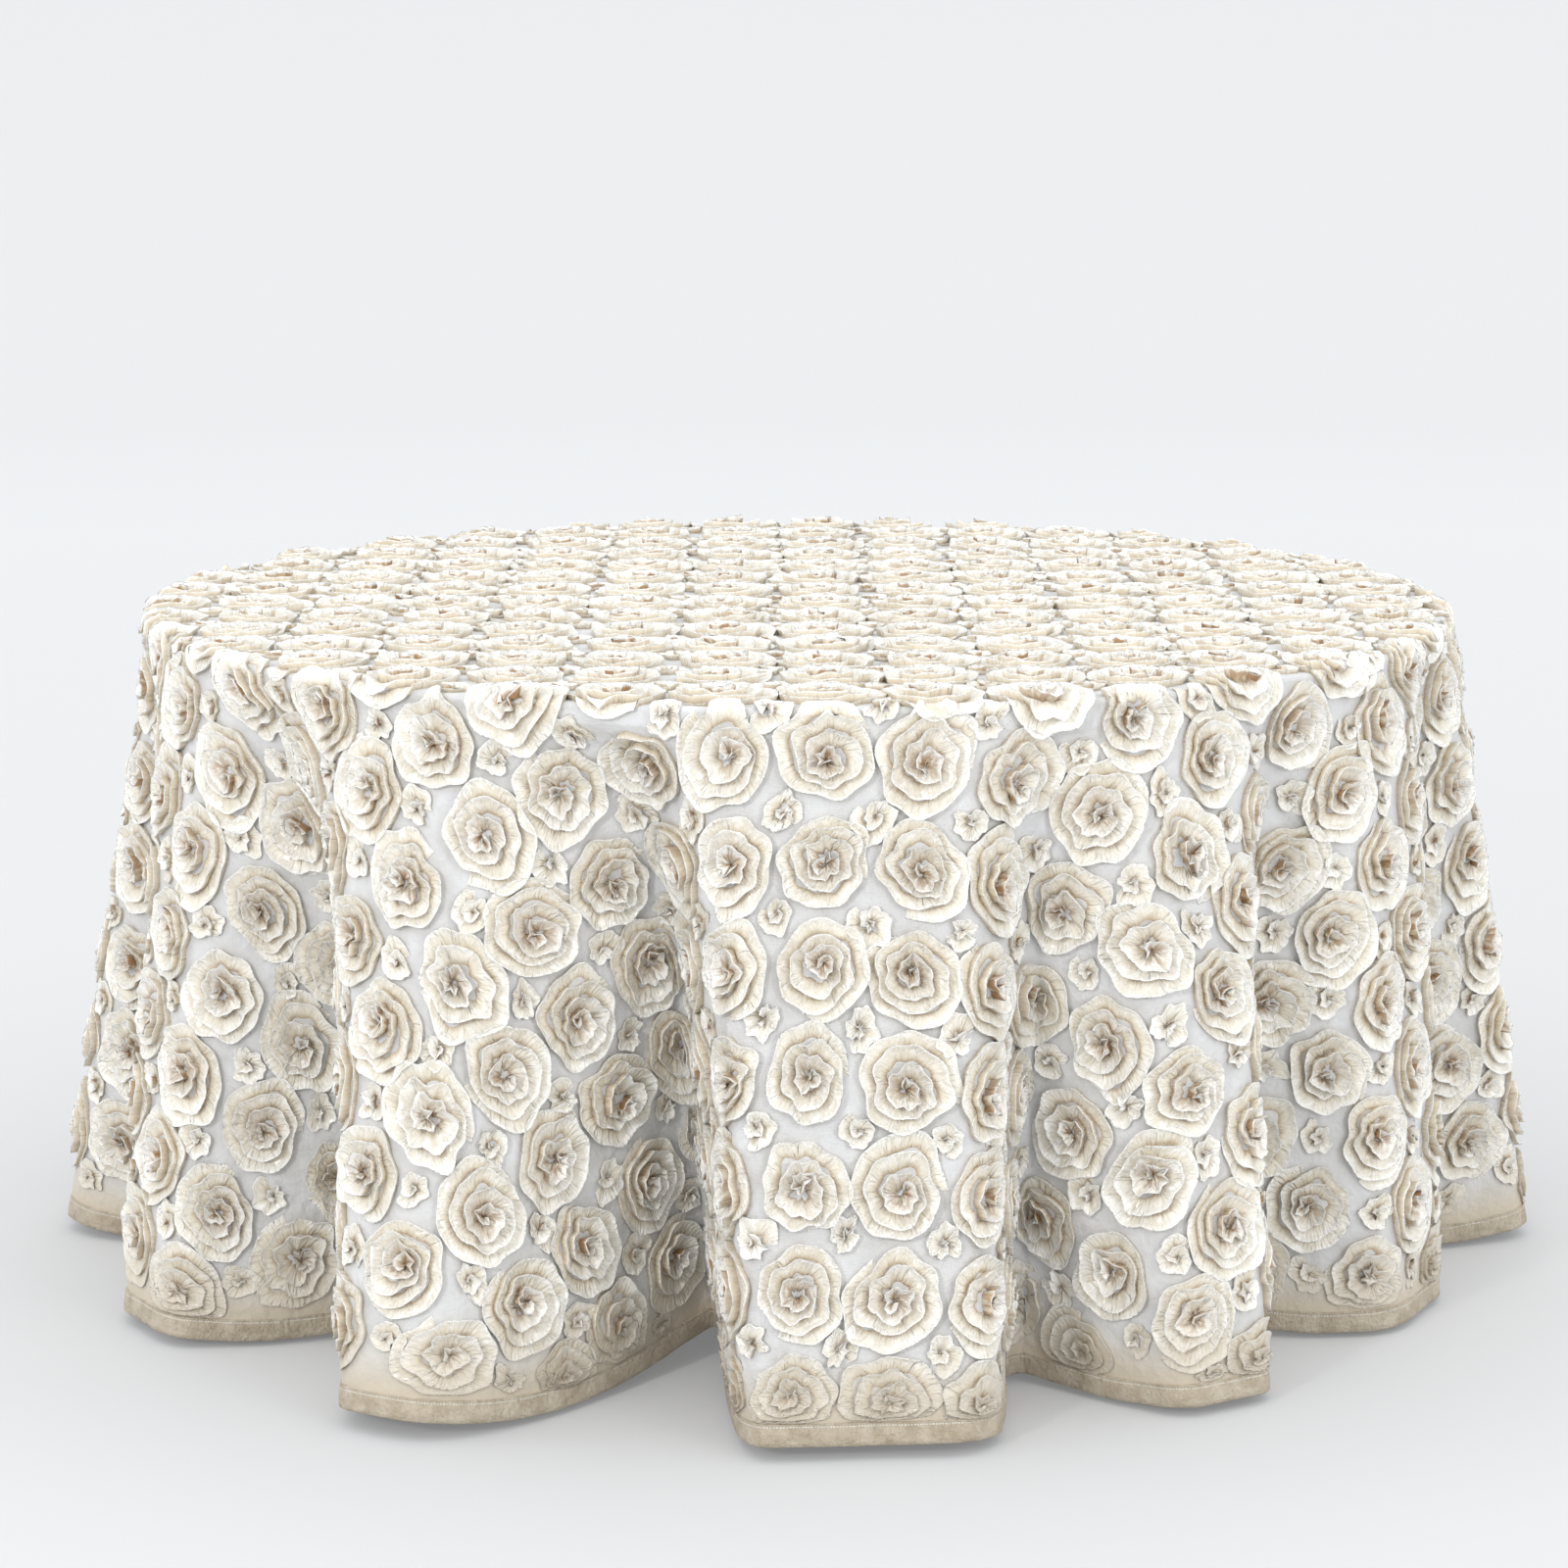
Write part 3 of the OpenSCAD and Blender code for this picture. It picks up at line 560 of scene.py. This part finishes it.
rng = np.random.default_rng(rosetteGrid["seed"])
largePlaces = rosettePlaces(rng, 0, largeRosette)
smallPlaces = rosettePlaces(rng, 0.5, smallRosette)
largePlaces.sort(key=lambda p: math.atan2(p[0], -p[1]) if math.hypot(*p) > flatRadius else -9)
rosettePieces = splitRosettes("large_rosettes", largeRosette, largePlaces, rng)
rosettePieces += splitRosettes("small_rosettes", smallRosette, smallPlaces, rng)
print("rosettes made:", len(largePlaces), "large,", len(smallPlaces), "small")


# the finishes
def shaderGroup(name, inputs, output, outputType="NodeSocketColor"):
    group = bpy.data.node_groups.new(name, "ShaderNodeTree")
    for label, kind, value in inputs:
        socket = group.interface.new_socket(name=label, in_out="INPUT", socket_type=kind)
        if value is not None:
            socket.default_value = value
    group.interface.new_socket(name=output, in_out="OUTPUT", socket_type=outputType)
    return group, group.nodes.new("NodeGroupInput"), group.nodes.new("NodeGroupOutput")


def mathNode(tree, operation, a, b=None):
    node = tree.nodes.new("ShaderNodeMath")
    node.operation = operation
    for socket, value in zip(node.inputs, (a, b)):
        if isinstance(value, (int, float)):
            socket.default_value = value
        elif value is not None:
            tree.links.new(value, socket)
    return node.outputs[0]


def noiseNode(tree, vector, scale, detail=2.0, rough=0.5):
    node = tree.nodes.new("ShaderNodeTexNoise")
    node.inputs["Scale"].default_value = scale
    node.inputs["Detail"].default_value = detail
    node.inputs["Roughness"].default_value = rough
    tree.links.new(vector, node.inputs["Vector"])
    return node.outputs["Fac"]


def stretchNode(tree, vector, scale):
    node = tree.nodes.new("ShaderNodeMapping")
    node.inputs["Scale"].default_value = scale
    tree.links.new(vector, node.inputs["Vector"])
    return node.outputs[0]


def rampNode(tree, fac, stops):  # each stop's colour is a grey as one number, or three numbers
    node = tree.nodes.new("ShaderNodeValToRGB")
    ends = node.color_ramp.elements
    while len(ends) < len(stops):
        ends.new(0.5)
    for end, (at, color) in zip(ends, stops):
        end.position = at
        end.color = (*color, 1) if isinstance(color, tuple) else (color, color, color, 1)
    tree.links.new(fac, node.inputs["Fac"])
    return node.outputs["Color"]


def mixColor(tree, fac, a, b, way="MIX"):
    node = tree.nodes.new("ShaderNodeMix")
    node.data_type = "RGBA"
    node.blend_type = way
    node.clamp_factor = True
    for socket, value in ((node.inputs[0], fac), (node.inputs[6], a), (node.inputs[7], b)):
        if isinstance(value, (int, float)):
            socket.default_value = value
        elif isinstance(value, tuple):
            socket.default_value = (*value, 1)
        else:
            tree.links.new(value, socket)
    return node.outputs[2]


def bumpNode(tree, height, distance, strength=1.0, normal=None):
    node = tree.nodes.new("ShaderNodeBump")
    node.inputs["Distance"].default_value = distance
    node.inputs["Strength"].default_value = strength
    tree.links.new(height, node.inputs["Height"])
    if normal is not None:
        tree.links.new(normal, node.inputs["Normal"])
    return node.outputs["Normal"]


def attributeNode(tree, name):
    node = tree.nodes.new("ShaderNodeAttribute")
    node.attribute_name = name
    return node.outputs["Fac"]


def newFinish(name, **values):
    material = bpy.data.materials.new(name)
    material.use_nodes = True
    surface = material.node_tree.nodes["Principled BSDF"]
    for label, value in values.items():
        surface.inputs[label.replace("_", " ")].default_value = value
    return material, material.node_tree, surface


def objectCoordinates(tree):
    return tree.nodes.new("ShaderNodeTexCoord").outputs["Object"]


def makeMottle():  # soft patches of two colours
    group, start, end = shaderGroup("mottle", [
        ("Vector", "NodeSocketVector", None), ("Scale", "NodeSocketFloat", 10.0),
        ("Light", "NodeSocketColor", (1, 1, 1, 1)), ("Dark", "NodeSocketColor", (0, 0, 0, 1))], "Color")
    noiseTexture = group.nodes.new("ShaderNodeTexNoise")
    noiseTexture.inputs["Detail"].default_value = 3
    group.links.new(start.outputs["Vector"], noiseTexture.inputs["Vector"])
    group.links.new(start.outputs["Scale"], noiseTexture.inputs["Scale"])
    patch = rampNode(group, noiseTexture.outputs["Fac"], [(0.35, 0), (0.65, 1)])
    mixed = mixColor(group, patch, start.outputs["Dark"], start.outputs["Light"])
    group.links.new(mixed, end.inputs["Color"])
    return group


mottle = makeMottle()


def mottleNode(tree, vector, scale, light, dark):
    node = tree.nodes.new("ShaderNodeGroup")
    node.node_tree = mottle
    node.inputs["Scale"].default_value = scale
    node.inputs["Light"].default_value = (*light, 1)
    node.inputs["Dark"].default_value = (*dark, 1)
    tree.links.new(vector, node.inputs["Vector"])
    return node.outputs["Color"]


# the lip colour is a painted highlight; the crevice and tan colours are painted shade in the crevices and
# buds
satin = {
    "cream": (0.90, 0.885, 0.84), "warmCream": (0.80, 0.765, 0.685), "highlightWhite": (0.95, 0.94, 0.91),
    "creviceShade": (0.60, 0.48, 0.34), "budShade": (0.36, 0.20, 0.085), "hemBeige": (0.57, 0.50, 0.39),
    "width": 0.022, "roughness": 0.26,
}


def makeSatinRibbon():
    material, tree, surface = newFinish("satinRibbon", Roughness=satin["roughness"], Specular_IOR_Level=0.6,
                                        Coat_Weight=0.35, Coat_Roughness=0.16)
    uv = tree.nodes.new("ShaderNodeUVMap")
    uv.uv_map = "ribbon"
    parted = tree.nodes.new("ShaderNodeSeparateXYZ")
    tree.links.new(uv.outputs["UV"], parted.inputs[0])
    chance = attributeNode(tree, "chance")
    ribbonPlace = tree.nodes.new("ShaderNodeCombineXYZ")
    tree.links.new(parted.outputs["X"], ribbonPlace.inputs["X"])
    tree.links.new(mathNode(tree, "MULTIPLY", parted.outputs["Y"], satin["width"]), ribbonPlace.inputs["Y"])
    tree.links.new(mathNode(tree, "MULTIPLY", chance, 7.0), ribbonPlace.inputs["Z"])
    place = ribbonPlace.outputs[0]
    across = parted.outputs["Y"]
    cream = mottleNode(tree, place, 55, satin["cream"], satin["warmCream"])
    # painted shade: across the ribbon the colour darkens to the crevice brown at the buried inner edge and
    # under the lip's outer wall, where the turns overlap
    fold = rampNode(tree, across, [
        (0.08, satin["creviceShade"]), (0.20, (0.88, 0.83, 0.74)), (0.36, (0.95, 0.925, 0.87)), (0.56, 1),
        (0.76, 1), (0.87, (0.88, 0.81, 0.70)), (1.0, satin["creviceShade"])])
    color = mixColor(tree, 0.85, cream, fold, "MULTIPLY")
    # painted highlight: noisy patches on the open band are lightened to the lip's white, as glints on satin
    paintedGlint = rampNode(tree, noiseNode(tree, stretchNode(tree, place, (1, 2.2, 1)), 75, 2),
                     [(0.50, 0), (0.62, 1)])
    openBand = rampNode(tree, across, [(0.2, 0), (0.38, 0.75), (0.8, 0.75), (0.9, 0)])
    color = mixColor(tree, mathNode(tree, "MULTIPLY", paintedGlint, openBand), color, satin["highlightWhite"])
    # painted highlight: the top of each lip is painted in the lip's white, as a bright line
    lip = rampNode(tree, across, [(0.55, 0), (0.63, 1), (0.77, 1), (0.83, 0)])
    color = mixColor(tree, lip, color, satin["highlightWhite"])
    bud = attributeNode(tree, "bud")
    # painted shadow: noise blots in the crevice rows of each bud are darkened towards the bud tan
    blot = rampNode(tree, noiseNode(tree, stretchNode(tree, place, (1, 1.6, 1)), 120, 3),
                    [(0.42, 0), (0.54, 1)])
    low = rampNode(tree, across, [(0.28, 1), (0.5, 0.15), (0.74, 0.1), (0.88, 1)])
    warm = mathNode(tree, "MULTIPLY", mathNode(tree, "MULTIPLY", blot, low), bud)
    color = mixColor(tree, warm, color, satin["budShade"])
    nearHem = attributeNode(tree, "nearHem")
    color = mixColor(tree, mathNode(tree, "MULTIPLY", nearHem, 0.8), color, satin["hemBeige"])
    tree.links.new(color, surface.inputs["Base Color"])
    gather = noiseNode(tree, stretchNode(tree, place, (105, 60, 1)), 1.0, 2, 0.5)
    gather = mathNode(tree, "ABSOLUTE", mathNode(tree, "SUBTRACT", gather, 0.5))
    pulled = rampNode(tree, noiseNode(tree, place, 40, 1), [(0.35, 0.15), (0.62, 1)])
    gather = mathNode(tree, "MULTIPLY", gather, pulled)
    crease = noiseNode(tree, stretchNode(tree, place, (240, 150, 1)), 1.0, 3, 0.6)
    rough = mathNode(tree, "ADD", mathNode(tree, "MULTIPLY", crease, 0.18), satin["roughness"] - 0.08)
    rough = mathNode(tree, "ADD", rough, mathNode(tree, "MULTIPLY", nearHem, 0.3))
    tree.links.new(rough, surface.inputs["Roughness"])
    folds = bumpNode(tree, gather, 0.0075, 1.0)
    tree.links.new(bumpNode(tree, crease, 0.0034, 1.0, folds), surface.inputs["Normal"])
    return material


def weaveHeight(tree, place, threads):  # crossed threads, from two bands
    parted = tree.nodes.new("ShaderNodeSeparateXYZ")
    tree.links.new(place, parted.inputs[0])
    turns = threads * 2 * math.pi
    angles = [mathNode(tree, "MULTIPLY", parted.outputs[axis], turns) for axis in ("X", "Y")]
    waves = [mathNode(tree, "SINE", angle) for angle in angles]
    return mathNode(tree, "MAXIMUM", *waves)


def cutPlace(tree):
    uv = tree.nodes.new("ShaderNodeUVMap")
    uv.uv_map = "cut"
    return uv.outputs["UV"]


def makeGroundMesh():
    material, tree, surface = newFinish("groundMesh", Roughness=0.5, Specular_IOR_Level=0.4, Sheen_Weight=0.2)
    place = cutPlace(tree)
    pale = mottleNode(tree, place, 22, groundCloth["pale"], groundCloth["grey"])
    fromMiddle = tree.nodes.new("ShaderNodeVectorMath")
    fromMiddle.operation = "LENGTH"
    tree.links.new(place, fromMiddle.inputs[0])
    nearHem = tree.nodes.new("ShaderNodeMapRange")
    tintFrom, tintTo = groundCloth["hemTint"]
    nearHem.inputs["From Min"].default_value = clothRadius - tintFrom
    nearHem.inputs["From Max"].default_value = clothRadius - tintTo
    tree.links.new(fromMiddle.outputs["Value"], nearHem.inputs["Value"])
    cool = mixColor(tree, nearHem.outputs["Result"], pale, satin["hemBeige"])
    weave = weaveHeight(tree, place, groundCloth["threads"])
    holes = rampNode(tree, mathNode(tree, "ADD", mathNode(tree, "MULTIPLY", weave, 0.5), 0.5),
                     [(0.2, (0.86, 0.86, 0.87)), (0.7, 1)])
    tree.links.new(mixColor(tree, 1.0, cool, holes, "MULTIPLY"), surface.inputs["Base Color"])
    pucker = bumpNode(tree, noiseNode(tree, place, 60, 3), 0.006, 0.7)
    tree.links.new(bumpNode(tree, weave, 0.0003, 0.5, pucker), surface.inputs["Normal"])
    return material


def makeHemFabric():
    material, tree, surface = newFinish("hemFabric", Roughness=0.72, Specular_IOR_Level=0.25,
                                        Sheen_Weight=0.15)
    place = cutPlace(tree)
    beige = mottleNode(tree, place, 45, hem["light"], hem["dark"])
    parted = tree.nodes.new("ShaderNodeSeparateXYZ")
    tree.links.new(place, parted.inputs[0])
    offSeam = mathNode(tree, "ABSOLUTE", mathNode(tree, "SUBTRACT", parted.outputs["Y"], hem["seamUp"]))
    seam = mathNode(tree, "LESS_THAN", offSeam, hem["seamHalf"])
    alongStitch = mathNode(tree, "FRACT", mathNode(tree, "MULTIPLY", parted.outputs["X"], hem["stitches"]))
    dash = mathNode(tree, "GREATER_THAN", alongStitch, hem["stitchGap"])
    stitch = mathNode(tree, "MULTIPLY", seam, dash)
    tree.links.new(mixColor(tree, stitch, beige, hem["thread"]), surface.inputs["Base Color"])
    crumple = noiseNode(tree, place, 140, 4, 0.6)
    folds = bumpNode(tree, crumple, 0.007, 1.0)
    weave = weaveHeight(tree, place, hem["threads"])
    tree.links.new(bumpNode(tree, weave, 0.0002, 0.5, folds), surface.inputs["Normal"])
    return material


def makePlywood():
    material, tree, surface = newFinish("plywoodFace", Roughness=0.55)
    place = objectCoordinates(tree)
    rings = noiseNode(tree, stretchNode(tree, place, (3.5, 60, 60)), 1.0, 6, 0.6)
    grain = rampNode(tree, rings, [(0.30, (0.44, 0.29, 0.16)), (0.55, (0.62, 0.45, 0.27)),
                                   (0.75, (0.70, 0.54, 0.35))])
    layers = tree.nodes.new("ShaderNodeSeparateXYZ")
    tree.links.new(place, layers.inputs[0])
    ply = mathNode(tree, "SINE", mathNode(tree, "MULTIPLY", layers.outputs["Z"], 2 * math.pi / 0.0055))
    tree.links.new(mixColor(tree, mathNode(tree, "MULTIPLY", ply, 0.12), grain, (0.36, 0.23, 0.12)),
                   surface.inputs["Base Color"])
    tree.links.new(bumpNode(tree, rings, 0.001, 0.5), surface.inputs["Normal"])
    return material


def makePlastic(name, color, grain, roughness):
    material, tree, surface = newFinish(name, Roughness=roughness)
    place = objectCoordinates(tree)
    tree.links.new(mottleNode(tree, place, grain / 8, color, tuple(c * 0.7 for c in color)),
                   surface.inputs["Base Color"])
    tree.links.new(bumpNode(tree, noiseNode(tree, place, grain, 3), 0.0004, 0.5), surface.inputs["Normal"])
    return material


def makeFramePaint():  # hammered grey paint on the steel tubes
    material, tree, surface = newFinish("framePaint", Roughness=0.38, Coat_Weight=0.3, Coat_Roughness=0.2)
    place = objectCoordinates(tree)
    dimples = tree.nodes.new("ShaderNodeTexVoronoi")
    dimples.inputs["Scale"].default_value = 260
    tree.links.new(place, dimples.inputs["Vector"])
    tone = rampNode(tree, dimples.outputs["Distance"],
                    [(0.0, (0.13, 0.135, 0.14)), (0.6, (0.21, 0.215, 0.22))])
    tree.links.new(tone, surface.inputs["Base Color"])
    tree.links.new(bumpNode(tree, dimples.outputs["Distance"], 0.0012, 0.6), surface.inputs["Normal"])
    return material


def makeZinc():
    material, tree, surface = newFinish("zincSteel", Metallic=1.0, Roughness=0.34)
    place = objectCoordinates(tree)
    tree.links.new(mottleNode(tree, place, 90, (0.74, 0.75, 0.76), (0.55, 0.56, 0.58)),
                   surface.inputs["Base Color"])
    brushed = noiseNode(tree, stretchNode(tree, place, (60, 700, 700)), 1.0, 3)
    tree.links.new(mathNode(tree, "ADD", mathNode(tree, "MULTIPLY", brushed, 0.3), 0.18),
                   surface.inputs["Roughness"])
    tree.links.new(bumpNode(tree, brushed, 0.0003, 0.3), surface.inputs["Normal"])
    return material


def finishCadNodes():  # the table's own nodes get the finish of their kind
    plywood, vinyl = makePlywood(), makePlastic("edgeVinyl", (0.055, 0.05, 0.048), 900, 0.5)
    paint, zinc = makeFramePaint(), makeZinc()
    plastic = makePlastic("blackPlastic", (0.035, 0.035, 0.036), 1400, 0.42)
    kinds = {
        "tabletop": plywood, "edge_band": vinyl, "leg_tubes": paint, "pivot_tube": paint,
        "crossbar": paint, "foot_caps": plastic, "tube_plugs": plastic,
    }
    for name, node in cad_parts.items():
        kind = next((kinds[k] for k in kinds if name.startswith(k)), zinc)
        node.data.materials.clear()
        node.data.materials.append(kind)


finishCadNodes()
satinRibbon = makeSatinRibbon()
for piece in rosettePieces:
    piece.data.materials.append(satinRibbon)
groundPiece.data.materials.append(makeGroundMesh())
hemPiece.data.materials.append(makeHemFabric())
print("finishes made")

# the pieces join the frame
for piece, slotName in [(groundPiece, "ground_mesh"), (hemPiece, "hem_fabric")] + [
        (p, "satin_ribbon") for p in rosettePieces]:
    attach(piece, "table")
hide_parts("ground_cloth")
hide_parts("hem_binding")
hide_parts("large_rosettes_top", "large_rosettes_drop")
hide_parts("small_rosettes_top", "small_rosettes_drop")
